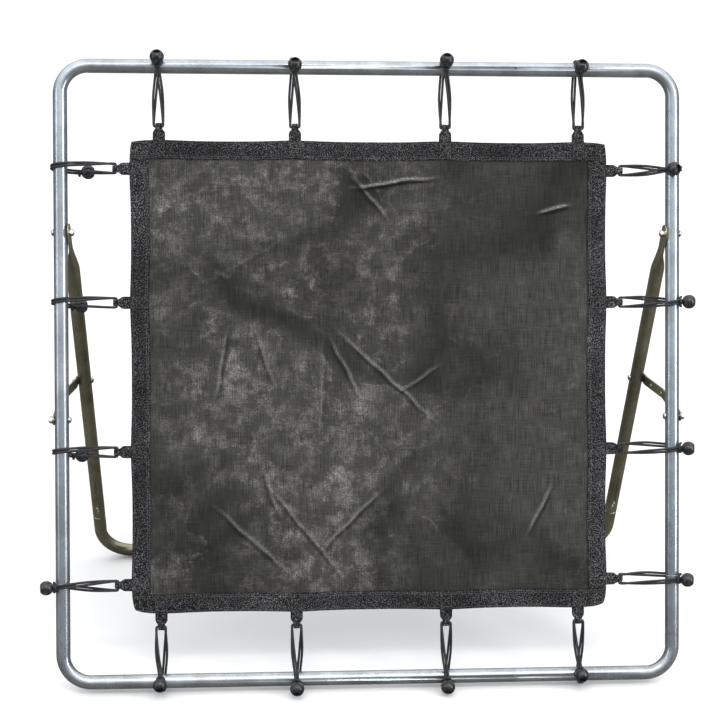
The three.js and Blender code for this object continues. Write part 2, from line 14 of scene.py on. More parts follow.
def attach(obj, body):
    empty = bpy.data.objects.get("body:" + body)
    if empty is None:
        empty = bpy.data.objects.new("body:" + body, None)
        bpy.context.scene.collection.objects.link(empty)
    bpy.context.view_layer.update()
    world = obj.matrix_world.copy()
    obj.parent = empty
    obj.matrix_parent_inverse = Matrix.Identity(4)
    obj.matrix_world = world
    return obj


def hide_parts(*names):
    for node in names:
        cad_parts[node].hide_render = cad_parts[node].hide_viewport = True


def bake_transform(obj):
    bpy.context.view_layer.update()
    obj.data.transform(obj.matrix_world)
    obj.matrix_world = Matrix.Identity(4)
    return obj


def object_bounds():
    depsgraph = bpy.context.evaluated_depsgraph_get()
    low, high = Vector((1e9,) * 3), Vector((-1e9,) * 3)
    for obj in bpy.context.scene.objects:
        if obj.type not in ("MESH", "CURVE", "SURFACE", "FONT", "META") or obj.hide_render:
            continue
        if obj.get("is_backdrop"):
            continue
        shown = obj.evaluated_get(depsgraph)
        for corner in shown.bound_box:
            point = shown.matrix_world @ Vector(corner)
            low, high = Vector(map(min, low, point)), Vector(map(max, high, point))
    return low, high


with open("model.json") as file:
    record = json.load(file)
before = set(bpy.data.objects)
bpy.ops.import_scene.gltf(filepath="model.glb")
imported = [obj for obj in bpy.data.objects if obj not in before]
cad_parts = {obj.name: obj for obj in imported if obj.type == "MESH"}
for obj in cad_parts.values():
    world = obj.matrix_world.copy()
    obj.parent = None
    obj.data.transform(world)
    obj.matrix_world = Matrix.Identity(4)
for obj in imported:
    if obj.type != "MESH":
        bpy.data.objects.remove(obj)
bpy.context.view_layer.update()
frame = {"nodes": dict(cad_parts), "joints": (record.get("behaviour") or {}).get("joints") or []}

# ---- driving dimensions, as the CAD has them ----
MM = 0.001
TUBE_R = 11.1 * MM
TUBE_WALL = 1.5 * MM
JOINT_GAP = 0.8 * MM             # between the two halves of a jointed tube
FRAME_HALF_W = 488.9 * MM        # centre of the frame to the axis of a tube
FRAME_HALF_H = 486.9 * MM
CORNER_R = 45 * MM
FRAME_JOINT_Z = -327 * MM
PIVOT_Z = 224.5 * MM
LEG_HALF_W = 476 * MM
LEG_LENGTH = 700 * MM
LEG_BEND_R = 55 * MM
LEG_JOINT_Z = -608 * MM
BUTTON_Z = LEG_JOINT_Z + 24 * MM
BRACE_REACH = 295 * MM           # a brace's bolts lie this far below the pivot, on leg and upright
BRACE_THICK = 2.5 * MM
DRAIN_X = 232 * MM
DRAIN_R = 2.8 * MM
NET_HALF_W = 381 * MM
NET_HALF_H = 375 * MM
NET_Z = -4 * MM                  # middle of the net above the middle of the frame
HEM_W = 30 * MM
TAB_OUT = 26 * MM
CORD_R = 1.8 * MM
SWOLLEN_CORD_R = 2 * MM          # the elastic's braid stands out a little from the CAD's cord
WRAP_R = 14.1 * MM               # tube's axis to the middle of a cord that lies on it
BALL_R = 11.25 * MM
BALL_SEAT = 27.6 * MM            # tube's axis to the middle of a ball outside it
FRONT_BALL_TURN, SIDE_BALL_TURN = 0.5, 0.3   # how far a ball's bore turns from tab to tube
STRAND = 2.15 * MM               # half the distance between a tie's two strands
TIE_SHARES = (-0.88, -0.315, 0.315, 0.88)    # places of a side's ties, in half lengths

# ---- the spaces that the CAD's groups stand in ----
JOINTS = {joint["name"]: joint for joint in frame["joints"]}
BACK = Vector(JOINTS["net_rebound"]["axis"]).normalized()
LEAN = math.asin(-BACK.z)
PIVOT = Vector(JOINTS["leg_fold"]["pos_m"])
BRACE_PIN = Vector(JOINTS["right_brace_swing"]["pos_m"])
CENTRE = PIVOT - PIVOT_Z * Vector((0, math.sin(LEAN), math.cos(LEAN)))
LEG_TILT = math.atan2(BRACE_PIN.y - PIVOT.y, PIVOT.z - BRACE_PIN.z)

FRAME_SPACE = Matrix.Translation(CENTRE) @ Matrix.Rotation(-LEAN, 4, "X")
NET_SPACE = FRAME_SPACE @ Matrix.Translation((0, 0, NET_Z))
LEG_SPACE = Matrix.Translation(PIVOT) @ Matrix.Rotation(LEG_TILT, 4, "X")


# ---- node materials ----
class Shader:
    """A Principled material and short ways to add nodes to it."""

    def __init__(self, name, **values):
        self.material = bpy.data.materials.new(name)
        self.material.use_nodes = True
        self.tree = self.material.node_tree
        self.bsdf = self.tree.nodes["Principled BSDF"]
        self.coordinates = self.node("ShaderNodeTexCoord")
        for socket, value in values.items():
            self.bsdf.inputs[socket.replace("_", " ")].default_value = value

    def node(self, kind, inputs=None, **settings):
        made = self.tree.nodes.new(kind)
        for key, value in settings.items():
            setattr(made, key, value)
        for socket, value in (inputs or {}).items():
            self.put(value, made.inputs[socket])
        return made

    def put(self, value, socket):
        if isinstance(value, bpy.types.NodeSocket):
            self.tree.links.new(value, socket)
        else:
            socket.default_value = value

    def stretched(self, scale, source="Object"):
        """Coordinates scaled by three numbers."""
        return self.node("ShaderNodeMapping", {
            "Vector": self.coordinates.outputs[source], "Scale": scale}).outputs["Vector"]

    def noise(self, scale, detail=3, vector=None, distortion=0.0, roughness=0.5):
        inputs = {"Scale": scale, "Detail": detail, "Distortion": distortion,
                  "Roughness": roughness, "Vector": vector or self.coordinates.outputs["Object"]}
        return self.node("ShaderNodeTexNoise", inputs).outputs["Fac"]

    def cells(self, scale):
        inputs = {"Scale": scale, "Vector": self.coordinates.outputs["Object"]}
        return self.node("ShaderNodeTexVoronoi", inputs).outputs["Color"]

    def waves(self, vector, scale, distortion, direction, detail=2.0):
        inputs = {"Vector": vector, "Scale": scale, "Distortion": distortion, "Detail": detail}
        return self.node("ShaderNodeTexWave", inputs, bands_direction=direction).outputs["Fac"]

    def ramp(self, source, *stops):
        """A greyscale or colour ramp; each stop is (position, grey or colour)."""
        made = self.node("ShaderNodeValToRGB", {"Fac": source})
        elements = made.color_ramp.elements
        while len(elements) < len(stops):
            elements.new(0.5)
        for element, (position, colour) in zip(elements, stops):
            element.position = position
            element.color = (*((colour,) * 3 if isinstance(colour, (int, float)) else colour), 1)
        return made.outputs["Color"]

    def math(self, operation, a, b=0.0):
        made = self.node("ShaderNodeMath", operation=operation)
        self.put(a, made.inputs[0])
        self.put(b, made.inputs[1])
        return made.outputs[0]

    def times(self, a, b):
        return self.math("MULTIPLY", a, b)

    def plus(self, a, b):
        return self.math("ADD", a, b)

    def mix(self, share, a, b, blend="MIX"):
        made = self.node("ShaderNodeMix", data_type="RGBA", blend_type=blend)
        self.put(share, made.inputs[0])
        for value, socket in ((a, made.inputs[6]), (b, made.inputs[7])):
            self.put((*value, 1) if isinstance(value, tuple) else value, socket)
        return made.outputs[2]

    def bump(self, height, distance, strength=1.0, under=None):
        inputs = {"Height": height, "Distance": distance, "Strength": strength}
        if under:
            inputs["Normal"] = under
        return self.node("ShaderNodeBump", inputs).outputs["Normal"]

    def link(self, **sockets):
        for socket, value in sockets.items():
            self.put(value, self.bsdf.inputs[socket.replace("_", " ")])
        return self.material


def galvanised(name, light, dark, rough):
    """Zinc coating: pale spangle, soft stains along the tube and fine dark specks."""
    s = Shader(name, Metallic=0.92)
    spangle = s.ramp(s.cells(150), (0.0, 0.36), (1.0, 0.64))
    stain = s.ramp(s.noise(16, 5, distortion=0.6), (0.38, 0.0), (0.62, 1.0))
    cloud = s.ramp(s.noise(5, 3), (0.3, 0.0), (0.75, 1.0))
    colour = s.mix(s.times(stain, 0.55), light, dark)
    colour = s.mix(0.35, colour, s.mix(1.0, colour, spangle, "OVERLAY"))
    speck = s.ramp(s.noise(420, 2), (0.68, 0.0), (0.74, 1.0))
    colour = s.mix(s.times(speck, 0.35), colour, (0.16, 0.15, 0.13))
    roughness = s.plus(s.times(cloud, 0.14), rough)
    roughness = s.plus(roughness, s.times(speck, 0.2))
    dents = s.bump(s.noise(60, 3), 0.4 * MM, 0.25)
    grain = s.bump(s.noise(900, 2), 0.05 * MM, 0.35, dents)
    return s.link(Base_Color=colour, Roughness=roughness, Normal=grain)


def bright_zinc():
    s = Shader("bright_zinc", Metallic=1.0)
    worn = s.ramp(s.noise(500, 3), (0.4, 0.0), (0.7, 1.0))
    colour = s.mix(worn, (0.74, 0.75, 0.76), (0.52, 0.5, 0.45))
    normal = s.bump(s.noise(1500, 2), 0.03 * MM, 0.4)
    return s.link(Base_Color=colour, Roughness=s.plus(s.times(worn, 0.2), 0.24), Normal=normal)


MESH_PITCH = 1.7 * MM
CLOTH_DARK, CLOTH_PALE = (0.009, 0.0095, 0.0075), (0.056, 0.055, 0.046)
# a painted shadow's near-black, and the grey of dust mixed with painted sheen
PAINTED_SHADOW_BLACK, DUST_AND_SHEEN_GREY = (0.006, 0.006, 0.0055), (0.25, 0.235, 0.225)
# the painted highlight and the painted shade along the creases
PAINTED_CREASE_HIGHLIGHT, PAINTED_CREASE_SHADE = (0.5, 0.49, 0.47), (0.004, 0.004, 0.004)


def mesh_cloth():
    """Woven mesh: threads both ways, faint pinholes, faded patches of dust and painted sheen,
    painted shadow patches, and painted highlight and shade along the creases.
    """
    s = Shader("mesh_cloth", Roughness=0.8, Specular_IOR_Level=0.15, Sheen_Weight=0.02,
               Sheen_Roughness=0.4)
    turn = 2 * math.pi / MESH_PITCH
    split = s.node("ShaderNodeSeparateXYZ", {"Vector": s.coordinates.outputs["Object"]})
    across = s.math("SINE", s.times(split.outputs["X"], turn))
    along = s.math("SINE", s.times(split.outputs["Z"], turn))
    weave = s.times(s.plus(s.math("MAXIMUM", across, along), 1.0), 0.5)

    warp_streak = s.noise(1, 3, s.stretched((900, 1, 26)))
    weft_streak = s.noise(1, 3, s.stretched((26, 1, 900)))
    streaks = s.plus(warp_streak, s.times(weft_streak, 0.6))
    streaks = s.ramp(streaks, (0.55, 0.0), (1.05, 1.0))

    # the dust and painted sheen are stronger towards the left of the net
    left = s.ramp(split.outputs["X"], (0.0, 1.0), (0.16, 0.25))
    cloud = s.noise(5, 6, distortion=0.4, roughness=0.6)
    cloud = s.ramp(cloud, (0.4, 0.0), (0.66, 1.0))
    patch_lines = s.noise(6, 6, distortion=0.7)
    patch_lines = s.ramp(patch_lines, (0.485, 0.0), (0.5, 1.0), (0.515, 0.3), (0.58, 0.0))
    scuff = s.ramp(s.noise(34, 8, roughness=0.75), (0.46, 0.08), (0.66, 1.0))
    patch_lines = s.times(s.times(patch_lines, scuff), 0.55)
    patch = s.plus(s.times(cloud, scuff), patch_lines)
    # fine grit, and painted glitter of single threads
    grit_and_glitter = s.ramp(s.noise(650, 2), (0.46, 0.0), (0.62, 1.0))
    dust_and_sheen = s.plus(s.times(grit_and_glitter, 0.9), s.times(streaks, 0.6))
    dust_and_sheen = s.times(s.times(patch, left), dust_and_sheen)

    # painted shadow: large dark patches laid over the cloth's colour
    painted_shadow = s.ramp(s.noise(5, 4, distortion=0.8), (0.36, 1.0), (0.56, 0.0))
    colour = s.mix(streaks, CLOTH_DARK, CLOTH_PALE)
    colour = s.mix(s.times(painted_shadow, 0.65), colour, PAINTED_SHADOW_BLACK)
    # dust mixed with painted sheen on the threads, laid into the colour
    colour = s.mix(s.times(dust_and_sheen, 0.95), colour, DUST_AND_SHEEN_GREY)
    # painted highlight on one flank of each crease and painted shade on its other flank
    light_and_shade = s.node("ShaderNodeAttribute", attribute_name="crease_wear").outputs["Fac"]
    lit_flank = s.times(s.math("MAXIMUM", light_and_shade, 0.0), s.plus(s.times(grit_and_glitter, 0.6), 0.2))
    colour = s.mix(lit_flank, colour, PAINTED_CREASE_HIGHLIGHT)
    shaded_mask = s.math("MAXIMUM", s.times(light_and_shade, -1.0), 0.0)
    colour = s.mix(s.math("MINIMUM", s.times(shaded_mask, 1.6), 0.9), colour, PAINTED_CREASE_SHADE)

    alpha = s.ramp(weave, (0.0, 0.95), (0.35, 1.0))
    normal = s.bump(weave, 0.35 * MM, 0.6)
    return s.link(Base_Color=colour, Alpha=alpha, Normal=normal)


def webbing():
    """Woven polypropylene tape: diagonal ribs with pale glints."""
    s = Shader("webbing", Roughness=0.7, Specular_IOR_Level=0.12, Sheen_Weight=0.01,
               Sheen_Roughness=0.4)
    glint = s.ramp(s.noise(650, 1), (0.54, 0.0), (0.68, 1.0))
    rib = s.waves(s.coordinates.outputs["Object"], 190.0, 1.5, "DIAGONAL", 1.0)
    fade = s.ramp(s.noise(9, 4), (0.35, 0.0), (0.7, 1.0))
    base = s.mix(fade, (0.003, 0.003, 0.0035), (0.009, 0.009, 0.0095))
    shown = s.times(glint, s.plus(s.times(fade, 0.5), 0.3))
    colour = s.mix(shown, base, (0.3, 0.3, 0.31))
    normal = s.bump(s.plus(rib, s.noise(1100, 1)), 0.3 * MM, 0.7)
    return s.link(Base_Color=colour, Normal=normal)


def thread():
    s = Shader("thread", Roughness=0.6, Specular_IOR_Level=0.25)
    twist = s.noise(1800, 2)
    return s.link(Base_Color=s.mix(twist, (0.012, 0.012, 0.013), (0.16, 0.155, 0.15)),
                  Normal=s.bump(twist, 0.1 * MM, 0.5))


def elastic():
    """Braided sheath over rubber: crossing yarns that run round the cord."""
    s = Shader("elastic", Roughness=0.45, Specular_IOR_Level=0.35)
    yarns = []
    for angle in (0.7, -0.7):
        slanted = s.node("ShaderNodeMapping", {
            "Vector": s.coordinates.outputs["UV"], "Rotation": (0, 0, angle)}).outputs["Vector"]
        yarns.append(s.waves(slanted, 260.0, 0.3, "X"))
    braid = s.math("MAXIMUM", *yarns)
    colour = s.mix(braid, (0.006, 0.006, 0.007), (0.03, 0.031, 0.034))
    return s.link(Base_Color=colour, Normal=s.bump(braid, 0.25 * MM, 0.6))


def ball_plastic():
    s = Shader("ball_plastic", Coat_Weight=0.2, Coat_Roughness=0.2)
    scuff = s.ramp(s.noise(260, 4), (0.5, 0.0), (0.75, 1.0))
    colour = s.mix(scuff, (0.012, 0.012, 0.014), (0.05, 0.05, 0.052))
    return s.link(Base_Color=colour, Roughness=s.plus(s.times(scuff, 0.3), 0.24),
                  Normal=s.bump(s.noise(800, 2), 0.05 * MM, 0.4))


GALVANISED = galvanised("galvanised_tube", (0.52, 0.57, 0.61), (0.29, 0.31, 0.325), 0.24)
DULL_ZINC = galvanised("dull_zinc", (0.38, 0.365, 0.275), (0.16, 0.15, 0.105), 0.27)
BRIGHT_ZINC = bright_zinc()
MESH_CLOTH = mesh_cloth()
WEBBING = webbing()
THREAD = thread()
ELASTIC = elastic()
BALL_PLASTIC = ball_plastic()


# ---- mesh tools ----
def clamp(value, low=0.0, high=1.0):
    return max(low, min(high, value))


def new_piece(name, vertices, faces, material, space=None, slot=None, uvs=None, sharp=40):
    """An object of one mesh, smooth but for edges that turn more than sharp degrees."""
    mesh = bpy.data.meshes.new(name)
    mesh.from_pydata([tuple(v) for v in vertices], [], faces)
    if uvs:
        layer = mesh.uv_layers.new(name="route")
        for loop in mesh.loops:
            layer.data[loop.index].uv = uvs[loop.vertex_index]
    work = bmesh.new()
    work.from_mesh(mesh)
    bmesh.ops.recalc_face_normals(work, faces=work.faces)
    for edge in work.edges:
        edge.smooth = len(edge.link_faces) < 2 or edge.calc_face_angle(0) < math.radians(sharp)
    for face in work.faces:
        face.smooth = True
    work.to_mesh(mesh)
    work.free()
    mesh.materials.append(material)
    obj = bpy.data.objects.new(name, mesh)
    bpy.context.scene.collection.objects.link(obj)
    if space:
        obj.matrix_world = space
    return obj


def skin_rings(rings, caps=True):
    """Faces between closed rings of the same number of points and, if capped, over both ends."""
    sides = len(rings[0])
    vertices = [point for ring in rings for point in ring]
    faces = []
    for i in range(len(rings) - 1):
        near, far = i * sides, (i + 1) * sides
        for j in range(sides):
            k = (j + 1) % sides
            faces.append((near + j, near + k, far + k, far + j))
    if caps:
        faces.append(tuple(range(sides)))
        faces.append(tuple(range(len(vertices) - sides, len(vertices))))
    return vertices, faces


def revolve(profile, axis, place, segments=32, radius_at=None):
    """Rings of a profile of (radius, height) turned about an axis through a place."""
    axis = Vector(axis).normalized()
    side = axis.orthogonal().normalized()
    other = axis.cross(side)
    rings = []
    for radius, height in profile:
        ring = []
        for j in range(segments):
            angle = 2 * math.pi * j / segments
            r = radius_at(angle, radius) if radius_at else radius
            spoke = side * math.cos(angle) + other * math.sin(angle)
            ring.append(Vector(place) + axis * height + spoke * r)
        rings.append(ring)
    return rings


def combine(parts):
    """One vertex and face list out of several."""
    vertices, faces = [], []
    for part_vertices, part_faces in parts:
        base = len(vertices)
        vertices += part_vertices
        faces += [tuple(base + i for i in face) for face in part_faces]
    return vertices, faces


# ---- tubes ----
TUBE_SIDES = 40
TUBE_ANGLES = [2 * math.pi * j / TUBE_SIDES for j in range(TUBE_SIDES)]
BEND_STEPS = 14
BEND_SQUEEZE = 0.1               # share of its radius that a bend's inner wall loses
LIP = 0.9 * MM                   # rounding of a tube's end
SPIGOT_PLAY = 0.9 * MM
SPIGOT_LENGTH = 55 * MM
BORE_DEPTH = 30 * MM             # how far an open end is hollow
FRAME_STATIONS = [z * MM for z in (-180, 0, 180, 330)]


def u_stations(half_width, end_z, across_z, radius, straight=()):
    """Stations (x, z, dx, dz, bend) of a U: along one side, across at across_z and back.

    bend is 0 in the straights and 1 in the middle of a bend.
    """
    way = math.copysign(1, across_z - end_z)
    half = [(-half_width, z, 0, way, 0) for z in (end_z, *straight)]
    for i in range(BEND_STEPS + 1):
        a = i / BEND_STEPS * math.pi / 2
        bend = math.sin(2 * a) ** 0.6 if 0 < i < BEND_STEPS else 0
        half.append((-half_width + radius * (1 - math.cos(a)),
                     across_z - way * radius * (1 - math.sin(a)),
                     math.sin(a), way * math.cos(a), bend))
    return half + [(-x, z, dx, -dz, bend) for x, z, dx, dz, bend in reversed(half)]


def tube_ring(station, radius, inward):
    """A tube's ring of points, a little flattened on the inner side of a bend."""
    x, z, dx, dz, bend = station
    ring = []
    for angle in TUBE_ANGLES:
        out, depth = math.cos(angle), math.sin(angle)
        squeeze = 1 - BEND_SQUEEZE * bend * max(0, -out) ** 3
        spoke = Vector((-dz * inward, 0, dx * inward)) * out * radius * squeeze
        ring.append(Vector((x, 0, z)) + spoke + Vector((0, depth * radius, 0)))
    return ring


def u_tube(half_width, end_z, across_z, radius, straight=(), spigot=False):
    """A U of tube. Its ends turn into the bore or, on a lower half, run on as spigots."""
    way = math.copysign(1, across_z - end_z)
    bore = TUBE_R - TUBE_WALL
    sleeve = bore - SPIGOT_PLAY
    steps = [(sleeve, -SPIGOT_LENGTH), (sleeve, 0)] if spigot else [(bore, BORE_DEPTH), (bore, LIP)]
    steps += [(TUBE_R - LIP, 0), (TUBE_R, LIP)]

    def end(x, heading):
        return [tube_ring((x, end_z + dz * way, 0, heading, 0), r, way) for r, dz in steps]

    stations = u_stations(half_width, end_z, across_z, radius, straight)[1:-1]
    middle = [tube_ring(station, TUBE_R, way) for station in stations]
    return skin_rings([*end(-half_width, way), *middle, *reversed(end(half_width, -way))])


def punch(obj, radius, x, z):
    """Cuts a round hole through the front wall of a tube."""
    depth = TUBE_R * 0.6
    rings = revolve([(radius, -depth), (radius, depth)], (0, 1, 0), (x, -TUBE_R, z), 24)
    cutter = new_piece("cutter", *skin_rings(rings), GALVANISED, obj.matrix_world.copy())
    hole = obj.modifiers.new("hole", "BOOLEAN")
    hole.object = cutter
    hole.solver = "EXACT"
    bpy.context.view_layer.update()
    evaluated = obj.evaluated_get(bpy.context.evaluated_depsgraph_get())
    obj.data = bpy.data.meshes.new_from_object(evaluated)
    obj.modifiers.clear()
    bpy.data.objects.remove(cutter)


def frame_tubes():
    upper = u_tube(FRAME_HALF_W, FRAME_JOINT_Z, FRAME_HALF_H, CORNER_R, FRAME_STATIONS)
    lower = u_tube(FRAME_HALF_W, FRAME_JOINT_Z - JOINT_GAP, -FRAME_HALF_H, CORNER_R, spigot=True)
    for half, tube, z in (("upper", upper, FRAME_HALF_H), ("lower", lower, -FRAME_HALF_H)):
        obj = new_piece(f"frame_{half}", *tube, GALVANISED, FRAME_SPACE, "galvanised_tube")
        punch(obj, DRAIN_R, DRAIN_X, z)
        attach(obj, "frame")
        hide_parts(f"frame_{half}_tube")


FLAT_TO, ROUND_FROM = 22 * MM, 70 * MM       # below the pivot: pinched flat above, round below
PLATE_HALF_DEPTH, PLATE_HALF_THICK = 14.5 * MM, 1.5 * MM
BUTTON_HOLE_R = 2.7 * MM
# A snap button's outline in mm: radius, height above the leg tube's axis.
BUTTON_PROFILE = [(2.4, 9.4), (2.4, 11.4), (2.1, 12.1), (1.4, 12.6), (0.4, 12.75)]


def leg_side(name, side):
    """A straight leg tube whose top is pinched flat and rounded off round the pivot bolt."""
    rings = []
    tops = [PLATE_HALF_DEPTH * math.cos(math.radians(a)) for a in range(4, 90, 9)]
    flare = [-FLAT_TO - (ROUND_FROM - FLAT_TO) * t / 9 for t in range(10)]
    plain = [-250 * MM, -450 * MM, LEG_JOINT_Z + JOINT_GAP]
    for z in [*tops, 0, -FLAT_TO / 2, *flare, *plain]:
        drop = clamp((-z - FLAT_TO) / (ROUND_FROM - FLAT_TO))
        share = drop * drop * (3 - 2 * drop)
        deep = math.sqrt(PLATE_HALF_DEPTH ** 2 - z * z) if z > 0 else PLATE_HALF_DEPTH
        half_deep = deep + (TUBE_R - deep) * share
        half_thick = PLATE_HALF_THICK + (TUBE_R - PLATE_HALF_THICK) * share
        power = 0.35 + 0.65 * min(1.0, 8 * share)
        ring = []
        for a in TUBE_ANGLES:
            out = math.copysign(abs(math.cos(a)) ** power, math.cos(a))
            ring.append(Vector((side * LEG_HALF_W + half_thick * out, half_deep * math.sin(a), z)))
        rings.append(ring)
    end = Vector((side * LEG_HALF_W, 0, LEG_JOINT_Z))
    bore = TUBE_R - TUBE_WALL
    for radius, rise in ((TUBE_R - 0.7 * MM, 0), (bore, 0.5 * MM), (bore, BORE_DEPTH)):
        rings.append([end + Vector((radius * math.cos(a), radius * math.sin(a), rise))
                      for a in TUBE_ANGLES])
    obj = new_piece(name, *skin_rings(rings), DULL_ZINC, LEG_SPACE, "dull_zinc")
    punch(obj, BUTTON_HOLE_R, side * LEG_HALF_W, BUTTON_Z)
    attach(obj, "leg")
    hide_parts(name + "_tube")


def leg_tubes():
    leg_side("leg_left", -1)
    leg_side("leg_right", 1)
    tube = u_tube(LEG_HALF_W, LEG_JOINT_Z - JOINT_GAP, -LEG_LENGTH, LEG_BEND_R, spigot=True)
    bar = new_piece("leg_lower", *tube, DULL_ZINC, LEG_SPACE, "dull_zinc")
    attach(bar, "leg")
    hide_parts("leg_lower_tube")
    profile = [(r * MM, h * MM) for r, h in BUTTON_PROFILE]
    for label, side in (("left", -1), ("right", 1)):
        rings = revolve(profile, (0, -1, 0), (side * LEG_HALF_W, 0, BUTTON_Z), 20)
        button = new_piece(f"leg_{label}_snap_button", *skin_rings(rings), BRIGHT_ZINC, LEG_SPACE,
                           "bright_zinc")
        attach(button, "leg")
        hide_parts(f"leg_{label}_button")


# ---- bolts ----
SHANK_R = 3 * MM
HEAD_R = 5.4 * MM
DOME_R, DOME_HIGH = 5.3 * MM, 3.3 * MM
NUT_CORNER_R = 5.77 * MM
NUT_THICK = 5 * MM
FIT = 0.3 * MM                   # clearance between faces that meet


def hexagon(angle, radius):
    """The radius of a hexagon whose corners are chamfered back to the given radius."""
    flat = NUT_CORNER_R * math.cos(math.pi / 6)
    from_flat = (angle + math.pi / 6) % (math.pi / 3) - math.pi / 6
    return min(flat / math.cos(from_flat), radius)


def bolt_and_nut(label, side, head_face, nut_face, z, space, body):
    """A domed bolt from head_face to a hex nut at nut_face, both along X on one side."""
    way = math.copysign(1, head_face - nut_face)
    axis = Vector((side * way, 0, 0))
    place = Vector((side * (head_face + way * FIT), 0, z))
    length = abs(nut_face - head_face) + 2 * FIT + NUT_THICK
    profile = [(SHANK_R - 0.5 * MM, -length - 1.5 * MM), (SHANK_R, -length - 1.2 * MM),
               (SHANK_R, -length + 1 * MM), (SHANK_R, 0), (HEAD_R, 0), (HEAD_R, 0.5 * MM)]
    profile += [(DOME_R * math.cos(a), 0.6 * MM + DOME_HIGH * math.sin(a))
                for a in map(math.radians, range(5, 90, 12))]
    bolt = new_piece(f"{label}_bolt_body", *skin_rings(revolve(profile, axis, place)), BRIGHT_ZINC,
                     space, "bright_zinc")

    place = Vector((side * (nut_face - way * FIT), 0, z))
    face_r, chamfer = NUT_CORNER_R * 0.9, 0.6 * MM
    profile = [(SHANK_R, 0), (face_r, 0), (NUT_CORNER_R, chamfer),
               (NUT_CORNER_R, NUT_THICK - chamfer), (face_r, NUT_THICK), (SHANK_R, NUT_THICK)]
    rings = revolve(profile, -axis, place, 48,
                    lambda angle, r: hexagon(angle, r) if r > SHANK_R else r)
    nut = new_piece(f"{label}_nut_body", *skin_rings(rings + rings[:1], False), BRIGHT_ZINC,
                    space, "bright_zinc", sharp=25)
    for obj, node in ((bolt, f"{label}_bolt"), (nut, f"{label}_nut")):
        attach(obj, body)
        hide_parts(node)


def bolts():
    tube_outside = FRAME_HALF_W + TUBE_R
    brace_outside = tube_outside + FIT + BRACE_THICK
    leg_outside = LEG_HALF_W + TUBE_R + FIT + BRACE_THICK
    for label, side in (("left", -1), ("right", 1)):
        bolt_and_nut(f"{label}_pivot", side, tube_outside, LEG_HALF_W - PLATE_HALF_THICK, PIVOT_Z,
                     FRAME_SPACE, "frame")
        bolt_and_nut(f"{label}_upright_brace", side, FRAME_HALF_W - TUBE_R, brace_outside,
                     PIVOT_Z - BRACE_REACH, FRAME_SPACE, "frame")
        bolt_and_nut(f"{label}_leg_brace", side, LEG_HALF_W - TUBE_R, leg_outside, -BRACE_REACH,
                     LEG_SPACE, "leg")


def braces():
    """The CAD strips stay; a fine bevel rounds their punched edges."""
    for label in ("left", "right"):
        strip = frame["nodes"][f"{label}_brace"]
        strip.data.materials.clear()
        strip.data.materials.append(DULL_ZINC)
        rounded = strip.modifiers.new("edges", "BEVEL")
        rounded.width = 0.35 * MM
        rounded.segments = 2
        rounded.limit_method = "ANGLE"
        rounded.angle_limit = math.radians(50)


# ---- net ----
TAB_X = [share * NET_HALF_W for share in TIE_SHARES]
TAB_Z = [share * NET_HALF_H for share in TIE_SHARES]
EDGE_SLACK, TAB_PULL = 1.8, 2.1              # mm that an edge is drawn in, and out again at a tab
TAB_PULL_REACH = 48 * MM
CORNER_TIGHTNESS = 26
LOW_CORNER_PULL, HIGH_CORNER_PULL = 5, 2.2   # mm that the net's corners are drawn in
BELLY = 7 * MM
RIPPLE, RIPPLES_PER_M = 1.6 * MM, 9
FLANK_OFF, FLANK_WIDTH = 2.2 * MM, 2.6 * MM      # a stripe of painted highlight on one flank, of painted shade on the other: distance from the fold, width
SHEET_STEPS = 260
SHEET_INSET = 1.2 * MM                       # the cloth ends just inside the fold of the hem

# Creases: (middle x and z as shares of the half net, length as a share of its half width, direction
# in degrees, height in mm, half width in mm, painted highlight and shade along the fold from 0 to
# 1).
CREASES = [
    (0.1, 0.82, 0.15, 7, 4.4, 4, 1.0), (0.0, 0.75, 0.1, -50, 3.2, 3, 0.5),
    (0.78, 0.71, 0.06, 14, 3.4, 3, 0.9), (-0.11, 0.03, 0.13, -64, 3.0, 3, 0.5),
    (0.06, 0.0, 0.24, -43, 3.4, 3, 0.6), (0.2, -0.02, 0.1, 32, 2.6, 3, 0.35),
    (0.72, -0.58, 0.1, 62, 3.4, 3, 0.55), (-0.28, -0.66, 0.22, -50, -4.0, 4, 0.6),
    (-0.5, -0.7, 0.18, -42, 3.4, 4, 0.5), (-0.08, -0.62, 0.16, 44, -3.2, 3, 0.5),
    (-0.42, -0.5, 0.1, -70, 3.0, 3, 0.4), (-0.2, -0.06, 0.2, 88, 2.0, 5, 0.25),
    (-0.5, 0.5, 0.16, 30, 2.2, 7, 0.1), (-0.62, 0.05, 0.13, 80, 2.6, 4, 0.45),
    (-0.45, 0.08, 0.12, -72, 2.6, 4, 0.4), (0.35, 0.45, 0.2, -60, 1.6, 9, 0.0),
    (-0.1, 0.35, 0.3, 20, 1.5, 11, 0.0), (0.45, -0.2, 0.25, 70, 1.5, 11, 0.0),
]


def edge_pull(t, tabs):
    """How far a net edge stands out at t along it: pulled at its tabs and slack between them."""
    near = max(math.exp(-((t - place) / TAB_PULL_REACH) ** 2) for place in tabs)
    return (TAB_PULL * near - EDGE_SLACK) * MM


def crease_place(x, z, crease):
    """How much of a crease's height there is at a point, and how far it lies off its line."""
    mid_u, mid_w, length, degrees = crease[:4]
    a = math.radians(degrees)
    dx, dz = x - mid_u * NET_HALF_W, z - mid_w * NET_HALF_H
    along = dx * math.cos(a) + dz * math.sin(a)
    wander = 3 * MM * noise.noise(Vector((along * 30, mid_u * 9, mid_w * 9)))
    fade = math.exp(-(along / (length * NET_HALF_W)) ** 4)
    return fade, -dx * math.sin(a) + dz * math.cos(a) + wander


